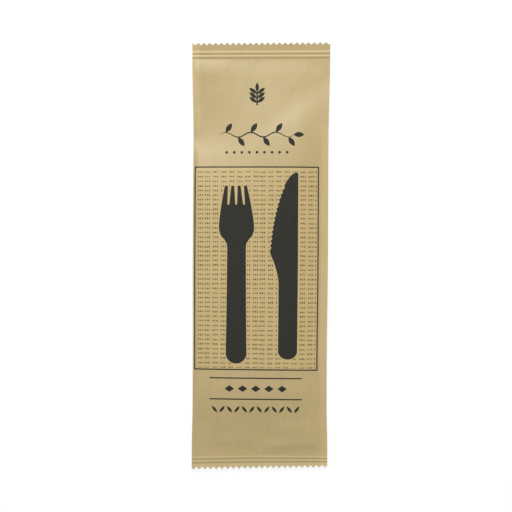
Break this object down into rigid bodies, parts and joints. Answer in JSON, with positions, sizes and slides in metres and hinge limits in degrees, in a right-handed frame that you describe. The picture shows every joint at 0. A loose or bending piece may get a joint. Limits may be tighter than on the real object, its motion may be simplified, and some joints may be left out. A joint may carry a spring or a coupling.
{
  "type": "sealed paper cutlery sachet",
  "caption": "Flat sealed kraft paper sachet with crimped, pinked ends, holding a wooden fork, knife and napkin, printed with a fork and knife.",
  "frame": {"origin": "under the middle of the sachet, on the surface that its back lies on", "axes": "+Y from the foot seal to the head seal, +X to the right of the printed front, +Z out of the printed front"},
  "size_m": [0.0754, 0.2342, 0.0075],
  "materials": {
    "kraft_paper": "matte",
    "black_ink": "matte"
  },
  "bodies": {
    "root": {"paper_pouch": "kraft_paper"}
  },
  "joints": []
}
